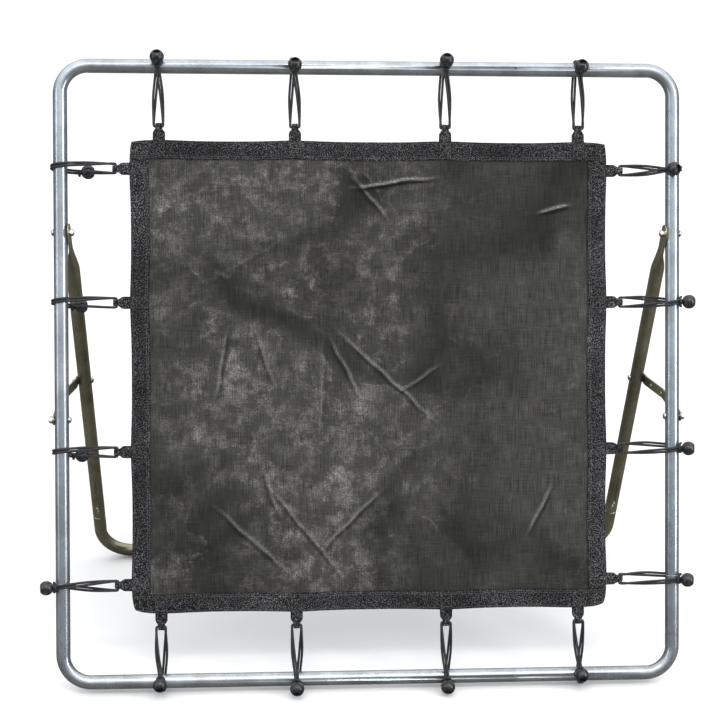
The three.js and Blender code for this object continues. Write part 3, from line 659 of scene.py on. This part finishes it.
def cloth_lift(x, z):
    """How far the net stands forward of its plane: a slack belly, creases and soft ripples."""
    u, w = x / NET_HALF_W, z / NET_HALF_H
    hold = max(0.0, 1 - u * u) * max(0.0, 1 - w * w)
    lift = -BELLY * hold
    for crease in CREASES:
        fade, off = crease_place(x, z, crease)
        height, width = crease[4] * MM, crease[5] * MM
        lift += height * fade * math.exp(-(abs(off) / width) ** 1.4) * min(1.0, hold * 4)
    place = Vector((x * RIPPLES_PER_M, z * RIPPLES_PER_M, 0.3))
    return lift + RIPPLE * noise.fractal(place, 1.0, 2.0, 4) * min(1.0, hold * 3)


def crease_wear(x, z):
    """Above 0 where one flank of a crease gets a painted highlight, below 0 where its other flank
    gets painted shade.
    """
    light_and_shade = 0.0
    for crease in CREASES:
        fade, off = crease_place(x, z, crease)
        lit_flank = math.exp(-((off - FLANK_OFF) / FLANK_WIDTH) ** 2)
        shaded_flank = math.exp(-((off + FLANK_OFF) / FLANK_WIDTH) ** 2)
        light_and_shade += crease[6] * fade * (lit_flank - shaded_flank)
    return light_and_shade


def net_point(x, z, off=0.0):
    """A point of the net, drawn by the ties' pull and set off its surface towards the front."""
    u, w = clamp(x / NET_HALF_W, -1.0), clamp(z / NET_HALF_H, -1.0)
    moved_x = x + math.copysign(1, x) * edge_pull(z, TAB_Z) * abs(u) ** 4
    moved_z = z + math.copysign(1, z) * edge_pull(x, TAB_X) * abs(w) ** 4
    corner_pull = LOW_CORNER_PULL if w < 0 else HIGH_CORNER_PULL
    corner = (abs(u) * abs(w)) ** CORNER_TIGHTNESS * corner_pull * MM
    moved_x -= math.copysign(corner, x)
    moved_z -= math.copysign(corner, z)
    return Vector((moved_x, -(cloth_lift(x, z) + off), moved_z))


def net_sheet():
    half_w, half_h = NET_HALF_W - SHEET_INSET, NET_HALF_H - SHEET_INSET
    shares = [2 * i / SHEET_STEPS - 1 for i in range(SHEET_STEPS + 1)]
    vertices = [net_point(half_w * u, half_h * w) for w in shares for u in shares]
    row = SHEET_STEPS + 1
    corners = [i * row + j for i in range(SHEET_STEPS) for j in range(SHEET_STEPS)]
    faces = [(first, first + 1, first + row + 1, first + row) for first in corners]
    cloth = new_piece("net_cloth", vertices, faces, MESH_CLOTH, NET_SPACE, "mesh_cloth")
    # the creases' painted highlight and shade, kept on the points for the cloth's colour
    light_and_shade = cloth.data.attributes.new("crease_wear", "FLOAT", "POINT")
    for vertex, mark in zip(cloth.data.vertices, light_and_shade.data):
        mark.value = crease_wear(vertex.co.x, vertex.co.z)
    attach(cloth, "net")
    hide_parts("net_panel")
    return cloth


class Side:
    """One side of the net. out and along are its directions in (x, z), as the CAD has them."""

    def __init__(self, name, out, along, reach, half_length, tabs):
        self.name, self.out, self.along = name, out, along
        self.reach, self.half_length, self.tabs = reach, half_length, tabs

    def point(self, outward, along, off=0.0):
        """A net point by how far it stands outward of this edge and its place along the side."""
        inside = min(outward, 0.0)
        x = self.out[0] * (self.reach + inside) + self.along[0] * along
        z = self.out[1] * (self.reach + inside) + self.along[1] * along
        return net_point(x, z, off) + Vector((self.out[0], 0, self.out[1])) * max(outward, 0.0)


SHORT_HEM = NET_HALF_H - HEM_W - FIT         # the side hems end at the top and bottom ones
SIDES = [
    Side("top", (0, 1), (-1, 0), NET_HALF_H, NET_HALF_W, TAB_X),
    Side("right", (1, 0), (0, 1), NET_HALF_W, SHORT_HEM, TAB_Z),
    Side("bottom", (0, -1), (1, 0), NET_HALF_H, NET_HALF_W, TAB_X),
    Side("left", (-1, 0), (0, -1), NET_HALF_W, SHORT_HEM, TAB_Z),
]
STITCH_ROWS = (-27.2 * MM, -24.4 * MM, -3.2 * MM)     # outward of the net's edge
TAPE_FACE = 2.1 * MM                         # half the thickness of the folded hem
TAPE_ROOT = 0.75 * MM                        # the same where the tape meets the cloth
# Stations across the hem's face, in mm from the tape's inner edge; fine ones at the stitches.
HEM_STATIONS = (0, 0.5, 1.4, 2.8, 4.2, 5.6, 7.2, 10, 14, 18, 22, 25, 26, 26.8, 27.6, 28.6, 29.5)
HEM_PITCH = 6 * MM


def hem_height(outward):
    """The tape's outer surface above the net's plane, drawn in along its rows of stitches."""
    puff = TAPE_FACE
    for row in STITCH_ROWS:
        puff -= 0.45 * MM * math.exp(-((outward - row) / (1.1 * MM)) ** 2)
    return puff


def hem(side):
    """A tape folded round the net's edge, swept along the side as one closed section."""
    front = [-HEM_W + t * MM for t in HEM_STATIONS]
    steps = int(2 * side.half_length / HEM_PITCH)
    rings = []
    for i in range(steps + 1):
        along = side.half_length * (2 * i / steps - 1)

        def face(stations, facing):
            for outward in stations:
                height = TAPE_ROOT if outward <= -HEM_W else hem_height(outward)
                height += 0.25 * MM * noise.noise(Vector((along * 60, outward * 90, facing)))
                yield side.point(outward, along, facing * height)

        fold = [side.point(0, along, height) for height in (1.1 * MM, -1.1 * MM)]
        rings.append([*face(front, 1), *fold, *face(reversed(front), -1)])
    band = new_piece(f"{side.name}_hem_tape", *skin_rings(rings), WEBBING, NET_SPACE, "webbing",
                     sharp=70)
    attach(band, "net")
    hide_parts(f"{side.name}_hem")
    return band


STITCH_PITCH, STITCH_LENGTH, STITCH_THICK = 4.2 * MM, 3.1 * MM, 0.42 * MM
# A stitch's sections: share of its length, rise and width in thicknesses.
STITCH_SECTIONS = ((-0.5, 0.0, 0.35), (-0.25, 0.8, 1.0), (0.25, 0.8, 1.0), (0.5, 0.0, 0.35))
STRAP_RAISES = 1.35 * MM                     # how far a strap lifts the stitches that cross it
STRAP_REACH = 11.5 * MM
BOX_HALF, BOX_NEAR, BOX_FAR = 8.5 * MM, -24.4 * MM, -5 * MM      # a tab's sewn box


def stitch(centre, direction, normal):
    """One short raised stitch: an arch of four diamond sections."""
    side = direction.cross(normal).normalized() * STITCH_THICK
    rings = []
    for share, rise, width in STITCH_SECTIONS:
        base = centre + direction * STITCH_LENGTH * share + normal * STITCH_THICK * rise
        up = normal * STITCH_THICK * width
        rings.append([base + side * width, base + up, base - side * width, base - up])
    return skin_rings(rings)


def stitch_run(side, start, end, facing):
    """Stitches on one face of a hem from start to end, both (outward, along)."""
    length = math.dist(start, end)
    count = max(2, round(length / STITCH_PITCH))
    for i in range(count):
        share = (i + 0.5) / count
        outward, along = (s + (e - s) * share for s, e in zip(start, end))
        on_strap = any(abs(along - place) < STRAP_REACH for place in side.tabs)
        raised = STRAP_RAISES if on_strap else 0.0
        height = facing * (hem_height(outward) + raised + 0.1 * MM)
        ahead = [c + (e - s) * 2 * MM / length for c, s, e in zip((outward, along), start, end)]
        centre = side.point(outward, along, height)
        direction = (side.point(*ahead, height) - centre).normalized()
        yield stitch(centre, direction, Vector((0, -facing, 0)))


def stitching(side):
    """Rows of stitches along a hem and a crossed box at each tab, on both faces."""
    row_end = side.half_length - 2 * MM
    runs = [((row, -row_end), (row, row_end)) for row in STITCH_ROWS]
    for place in side.tabs:
        near_low, near_high = (BOX_NEAR, place - BOX_HALF), (BOX_NEAR, place + BOX_HALF)
        far_low, far_high = (BOX_FAR, place - BOX_HALF), (BOX_FAR, place + BOX_HALF)
        runs += [(near_low, far_low), (near_high, far_high), (near_low, far_high),
                 (near_high, far_low), (far_low, far_high)]
    parts = [made for facing in (1, -1) for start, end in runs
             for made in stitch_run(side, start, end, facing)]
    rows = new_piece(f"{side.name}_stitching", *combine(parts), THREAD, NET_SPACE, "webbing")
    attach(rows, "net")


# The front half of a tab's fold in mm: (outward, height before the net), from the hem to its tip.
TAB_FOLD = [
    (-28, 2.7), (-27, 3.0), (-20, 3.05), (-10, 3.05), (-3, 3.0), (-0.5, 2.7), (2, 1.9), (6, 1.25),
    (10, 1.3), (13, 2.1), (15.5, 3.7), (18, 4.85), (21, 5.3), (23.6, 4.7), (25.4, 3.2), (26, 1.2),
]
TAB_ROOT_HALF, TAB_TIP_HALF = 9.8 * MM, 5 * MM
TAB_HALF_THICK = 0.62 * MM
PINCH_FROM, PINCH_LENGTH = 11 * MM, 8 * MM   # where a tab narrows, outward of the net's edge
TAB_CUP = 0.7 * MM
TAB_CURL = 0.5 * MM


def tab(side, index, seed):
    """A strap sewn over both faces of the hem and folded round the tie's two strands."""
    rng = random.Random(seed)
    centre = side.tabs[index]
    path = [(u * MM, v * MM) for u, v in TAB_FOLD]
    path += [(u, -v) for u, v in reversed(path)]
    curl = rng.uniform(-TAB_CURL, TAB_CURL)
    section = [(t / 5, 1) for t in range(-5, 6)] + [(t / 5, -1) for t in range(5, -6, -1)]
    rings = []
    for i, (outward, height) in enumerate(path):
        before, after = path[max(i - 1, 0)], path[min(i + 1, len(path) - 1)]
        run = Vector((after[0] - before[0], after[1] - before[1])).normalized()
        normal = Vector((-run.y, run.x))
        pinch = clamp((outward - PINCH_FROM) / PINCH_LENGTH)
        half = TAB_ROOT_HALF + (TAB_TIP_HALF - TAB_ROOT_HALF) * pinch * pinch * (3 - 2 * pinch)
        ring = []
        for across, layer in section:
            thick = TAB_HALF_THICK * layer * (1 - 0.55 * abs(across) ** 6)
            cup = TAB_CUP * across * across * pinch * math.copysign(1, height)
            cup += curl * across * pinch
            ring.append(side.point(outward + normal.x * thick, centre + across * half,
                                   height + normal.y * thick - cup))
        rings.append(ring)
    strap = new_piece(f"{side.name}_tab_{index + 1}", *skin_rings(rings), WEBBING, NET_SPACE,
                      "webbing", sharp=60)
    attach(strap, "net")
    return strap


def net():
    cloth = net_sheet()
    for side in SIDES:
        hem(side)
        stitching(side)
        order = range(4) if sum(side.along) > 0 else range(3, -1, -1)
        for place, index in enumerate(order):
            tab(side, index, f"{side.name}{place}")


# ---- ball ties ----
# A tie's own space has its origin on the tube's axis, X outward from the frame's centre, Y along
# the tube and Z to the front. A tie's two strands are told apart by s, +1 or -1.
NECK = BALL_R + CORD_R + 0.5 * MM            # ball's middle to the strands that cross its bore
STRAND_IN_BORE = STRAND * 0.95
IN_BALL = 6 * MM                             # how deep a strand starts in the bore
CROSS_HALF = 1.9 * MM                        # half the strands' distance halfway to the tab
STEEP = 25                                   # beyond these degrees the tube is in the cord's way


def around(degrees, y, radius=WRAP_R):
    """A point beside the tube, turned from its front towards the outside of the frame."""
    a = math.radians(degrees)
    return Vector((radius * math.sin(a), y, radius * math.cos(a)))


def at_y(point, y):
    return Vector((point.x, y, point.z))


def through_tab(tab_x, s):
    """A strand's way through the tab, from its -Y side to its +Y side."""
    beside = TAB_TIP_HALF + CORD_R + 0.5 * MM
    into = [(6 * MM, -beside), (1.2 * MM, -beside + 0.3 * MM), (0, -beside + 3 * MM)]
    out_of = [(x, -y) for x, y in reversed(into)]
    return [Vector((tab_x + x, y, s * STRAND)) for x, y in into + out_of]


def outer_route(tab_x, ball_angle):
    """Ball outside the tube: over the tube, through the tab, behind the tube, over the neck."""
    place = around(ball_angle, 0, BALL_SEAT)
    steep = ball_angle > STEEP
    over = around(5, 0) if steep else Vector((tab_x + 6 * MM, 0, 0))
    turn = SIDE_BALL_TURN if steep else FRONT_BALL_TURN
    away = (over - place).normalized().lerp(-place.normalized(), turn).normalized()
    up = Vector((away.z, 0, -away.x))
    neck = place + away * NECK
    neck_angle = math.degrees(math.atan2(neck.x, neck.z))

    def strand(s):
        path = [at_y(place - away * IN_BALL, s * STRAND_IN_BORE),
                at_y(neck + away * 2 * MM, s * STRAND_IN_BORE)]
        if steep:
            path.append(at_y(around(-12, 0), -2 * MM + s * STRAND))
        entry = through_tab(tab_x, s)
        path.append(at_y(path[-1].lerp(entry[0], 0.5), -5.5 * MM + s * CROSS_HALF))
        path += entry
        path.append(Vector((tab_x / 2, 6.5 * MM + s * STRAND, -WRAP_R * 0.55)))
        angle = 190
        while angle > neck_angle + 16:
            near = clamp(1 - (angle - ball_angle) / 60)
            path.append(around(angle, (3 * MM + s * STRAND) * (1 - near) + s * 8.6 * MM * near))
            angle -= 40
        path.append(at_y(neck - up * 2.5 * MM, s * 5.8 * MM))
        if s > 0:
            path.append(neck + up * 4.4 * MM)
        return path

    return strand, place, away


def inner_route(tab_x, ball_x):
    """Ball inside the tube: behind and round the tube, through the tab, back over the neck."""
    place = Vector((ball_x, 5 * MM, -10 * MM))
    away = Vector((1, 0, 0))
    neck = place + away * NECK
    clear = BALL_R + CORD_R + 1.6 * MM

    def strand(s):
        bore_y = place.y + s * STRAND_IN_BORE
        path = [at_y(place - away * IN_BALL, bore_y), at_y(neck + away * 2 * MM, bore_y)]
        for angle in range(170, -20, -40):
            path.append(around(angle, (angle / 30 - 4) * MM + s * STRAND))
        entry = through_tab(tab_x, s)
        path.append(at_y(path[-1].lerp(entry[0], 0.5), -6.5 * MM + s * CROSS_HALF))
        path += entry
        for a in map(math.radians, (100, 65, 28)):
            beside = Vector((math.cos(a), 0, s * math.sin(a)))
            path.append(place + beside * clear)
        if s > 0:
            path.append(neck + Vector((0, 6 * MM, 0)))
        return path

    return strand, place, away


def smooth_route(points, spacing):
    """Points along a centripetal Catmull-Rom curve through the given ones."""
    ends = [points[0] * 2 - points[1], *points, points[-1] * 2 - points[-2]]
    made = []
    for p0, p1, p2, p3 in zip(ends, ends[1:], ends[2:], ends[3:]):
        t1 = math.sqrt((p1 - p0).length)
        t2 = t1 + math.sqrt((p2 - p1).length)
        t3 = t2 + math.sqrt((p3 - p2).length)
        count = max(1, round((p2 - p1).length / spacing))
        for i in range(count):
            t = t1 + (t2 - t1) * i / count
            a1 = p0.lerp(p1, t / t1)
            a2 = p1.lerp(p2, (t - t1) / (t2 - t1))
            a3 = p2.lerp(p3, (t - t2) / (t3 - t2))
            b1 = a1.lerp(a2, t / t2)
            b2 = a2.lerp(a3, (t - t1) / (t3 - t1))
            made.append(b1.lerp(b2, (t - t1) / (t2 - t1)))
    return [*made, points[-1]]


def cord_mesh(points, radius, sides=12):
    """A round cord along a route, with a UV map of metres round and along it."""
    rings, uvs = [], []
    run = 0.0
    side = (points[1] - points[0]).orthogonal().normalized()
    for i, point in enumerate(points):
        ahead = (points[min(i + 1, len(points) - 1)] - points[max(i - 1, 0)]).normalized()
        side = (side - ahead * side.dot(ahead)).normalized()
        other = ahead.cross(side)
        run += (point - points[i - 1]).length if i else 0.0
        ring = []
        for j in range(sides):
            a = 2 * math.pi * j / sides
            ring.append(point + (side * math.cos(a) + other * math.sin(a)) * radius)
            uvs.append((min(a, 2 * math.pi - a) * radius, run))
        rings.append(ring)
    return (*skin_rings(rings), uvs)


BALL_BORE, BALL_RECESS, RECESS_FLOOR = 4.3 * MM, 5.4 * MM, 3 * MM
BALL_STEPS = 18
KNOT_HEIGHT, KNOT_SIZE, KNOT_CORD_R = 4.6 * MM, 0.85 * MM, 1.15 * MM
KNOT_STEPS = 48


def ball_mesh(place, away):
    """A hollow ball: a narrow bore for the strands, a knot recess opposite and rounded rims."""
    low = -math.acos((BALL_BORE + 0.8 * MM) / BALL_R)
    high = math.acos((BALL_RECESS + 0.9 * MM) / BALL_R)
    profile = [(BALL_BORE, RECESS_FLOOR), (BALL_BORE, -BALL_R * 0.6),
               (BALL_BORE, BALL_R * math.sin(low) + 0.5 * MM)]
    for t in range(BALL_STEPS + 1):
        a = low + (high - low) * t / BALL_STEPS
        profile.append((BALL_R * math.cos(a), BALL_R * math.sin(a)))
    rim = BALL_R * math.sin(high)
    profile += [(BALL_RECESS + 0.35 * MM, rim + 0.15 * MM), (BALL_RECESS, rim - 0.4 * MM),
                (BALL_RECESS, RECESS_FLOOR), (BALL_BORE, RECESS_FLOOR)]
    return skin_rings(revolve(profile, -away, place, 36), False)


def knot_mesh(place, away, seed):
    """The two cord ends tied in the recess: a small trefoil of cord, turned at random."""
    rng = random.Random(seed)
    axis = -away
    side = Matrix.Rotation(rng.uniform(0, 6.28), 3, axis) @ axis.orthogonal().normalized()
    other = axis.cross(side)
    points = []
    for i in range(KNOT_STEPS + 1):
        t = 2 * math.pi * i / KNOT_STEPS
        x, y = math.sin(t) + 2 * math.sin(2 * t), math.cos(t) - 2 * math.cos(2 * t)
        height = KNOT_HEIGHT - math.sin(3 * t) * KNOT_SIZE
        points.append(place + axis * height + (side * x + other * y) * KNOT_SIZE)
    return cord_mesh(points, KNOT_CORD_R, 10)


# Each side's ties: from the frame's centre to the tube and to the net's edge, and where the balls
# sit. A ball outside the tube sits at degrees from its front, one inside at mm from its axis.
TIES = {
    "top": (FRAME_HALF_H, NET_HALF_H + NET_Z, (2, 19, 0, 22)),
    "right": (FRAME_HALF_W, NET_HALF_W, (47, 54, 60, -10)),
    "bottom": (FRAME_HALF_H, NET_HALF_H - NET_Z, (0, 22, 25, -8)),
    "left": (FRAME_HALF_W, NET_HALF_W, (-42, -30, -30, 60)),
}
INNER_BALLS = {"left": 3}                    # how many first ties have their balls inside the tube
ROUTE_SPACING = 2.2 * MM


def tie_space(side, rail, share):
    out = Vector((side.out[0], 0, side.out[1]))
    along = Vector((side.along[0], 0, side.along[1]))
    half = NET_HALF_W if side.out[0] == 0 else NET_HALF_H
    drop = 0.0 if side.out[0] == 0 else NET_Z * side.along[1]
    turn = Matrix((out, along, (0, -1, 0))).transposed().to_4x4()
    return FRAME_SPACE @ Matrix.Translation(out * rail + along * (share * half + drop)) @ turn


def tie(side, index):
    """One tie: its loop of elastic, its ball and the knot in it."""
    rail, edge, seats = TIES[side.name]
    label = f"{side.name}_tie{index + 1}"
    tab_x = edge + TAB_OUT - 5 * MM - rail
    if index < INNER_BALLS.get(side.name, 0):
        strand, place, away = inner_route(tab_x, seats[index] * MM)
    else:
        strand, place, away = outer_route(tab_x, seats[index])
    space = tie_space(side, rail, TIE_SHARES[index])
    route = smooth_route([*strand(1), *reversed(strand(-1))], ROUTE_SPACING)
    vertices, faces, uvs = cord_mesh([space @ point for point in route], SWOLLEN_CORD_R)
    cord = new_piece(f"{label}_elastic", vertices, faces, ELASTIC, None, "elastic", uvs)
    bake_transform(cord)
    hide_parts(f"{label}_cord")
    ball = new_piece(f"{label}_bead", *ball_mesh(place, away), BALL_PLASTIC, space, "ball_plastic")
    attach(ball, "frame")
    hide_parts(f"{label}_ball")
    vertices, faces, uvs = knot_mesh(place, away, label)
    knot = new_piece(f"{label}_knot", vertices, faces, ELASTIC, space, "elastic", uvs)
    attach(knot, "frame")


# ---- stage ----
FLOOR_SIZE = 60
FLOOR_WHITE, FLOOR_MIRRORED = (0.92, 0.92, 0.92), (0.13, 0.12, 0.1)
HORIZON, HORIZON_COLOUR = 0.16, (0.13, 0.145, 0.175, 1)       # the world's colour by height of view
ZENITH, ZENITH_COLOUR = 0.75, (1.0, 1.0, 1.0, 1)
BACKDROP = (0.65, 0.65, 0.65, 1)             # what the camera sees of the world
WORLD_STRENGTH = 1.5
# Area lights: name, place, aim, (width, height), power in watts, colour.
LIGHTS = [
    ("side box", (2.5, -1.6, 1.3), (0.1, 0, 0.45), (0.6, 2.2), 34, (0.96, 0.98, 1.0)),
    ("front box", (0.2, -1.9, 3.3), (0, 0, 0.5), (2.6, 0.5), 28, (1.0, 0.99, 0.97)),
    ("left box", (-2.6, -1.2, 1.2), (0, 0, 0.45), (0.35, 1.8), 9, (0.85, 0.9, 1.0)),
]
# The camera is placed from the frame's plane: right of its centre, up along it and out from its
# front. Its turns are in radians about the frame's upright axis, its cross axis and the sight line.
CAMERA_AT = (-0.156, 0.058, 2.232)
CAMERA_TURN = (-0.062, -0.016, -0.003)
LENS = 70.0


def floor():
    """White to the camera and dark in the tubes' reflections."""
    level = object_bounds()[0].z
    bpy.ops.mesh.primitive_plane_add(size=FLOOR_SIZE, location=(0, 0, level))
    ground = bpy.context.object
    ground.name = "floor"
    s = Shader("floor", Roughness=0.95, Specular_IOR_Level=0.1)
    mirrored = s.node("ShaderNodeLightPath").outputs["Is Glossy Ray"]
    s.link(Base_Color=s.mix(mirrored, FLOOR_WHITE, FLOOR_MIRRORED))
    ground.data.materials.append(s.material)
    ground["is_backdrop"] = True


def light(name, place, target, size, power, colour):
    lamp = bpy.data.lights.new(name, "AREA")
    lamp.shape = "RECTANGLE"
    lamp.size, lamp.size_y = size
    lamp.energy = power
    lamp.color = colour
    obj = bpy.data.objects.new(name, lamp)
    obj.location = place
    obj.rotation_euler = (Vector(target) - Vector(place)).to_track_quat("-Z", "Y").to_euler()
    bpy.context.scene.collection.objects.link(obj)


def studio():
    """Lights, and a world that is darker towards the horizon and plain to the camera."""
    world = bpy.data.worlds.new("studio")
    bpy.context.scene.world = world
    world.use_nodes = True
    tree = world.node_tree
    split = tree.nodes.new("ShaderNodeSeparateXYZ")
    ramp = tree.nodes.new("ShaderNodeValToRGB")
    tree.links.new(tree.nodes.new("ShaderNodeTexCoord").outputs["Generated"], split.inputs[0])
    tree.links.new(split.outputs["Z"], ramp.inputs[0])
    seen = tree.nodes.new("ShaderNodeMix")
    seen.data_type = "RGBA"
    seen.inputs[7].default_value = BACKDROP
    light_path = tree.nodes.new("ShaderNodeLightPath")
    tree.links.new(light_path.outputs["Is Camera Ray"], seen.inputs[0])
    tree.links.new(ramp.outputs["Color"], seen.inputs[6])
    background = tree.nodes["Background"]
    tree.links.new(seen.outputs[2], background.inputs["Color"])
    background.inputs["Strength"].default_value = WORLD_STRENGTH
    low, high = ramp.color_ramp.elements
    low.position, low.color = HORIZON, HORIZON_COLOUR
    high.position, high.color = ZENITH, ZENITH_COLOUR
    for setup in LIGHTS:
        light(*setup)


def camera():
    data = bpy.data.cameras.new("camera")
    data.sensor_width = 36.0
    data.lens = LENS
    obj = bpy.data.objects.new("camera", data)
    bpy.context.scene.collection.objects.link(obj)
    plane = Matrix.Translation(CENTRE) @ Matrix.Rotation(math.pi / 2 - LEAN, 4, "X")
    yaw, pitch, roll = CAMERA_TURN
    obj.matrix_world = (plane @ Matrix.Translation(CAMERA_AT) @ Matrix.Rotation(yaw, 4, "Y")
                        @ Matrix.Rotation(pitch, 4, "X") @ Matrix.Rotation(roll, 4, "Z"))
    bpy.context.scene.camera = obj


frame_tubes()
leg_tubes()
bolts()
braces()
net()
for net_side in SIDES:
    for tie_index in range(len(TIE_SHARES)):
        tie(net_side, tie_index)
floor()
studio()
camera()
bpy.context.scene.view_settings.view_transform = "Standard"
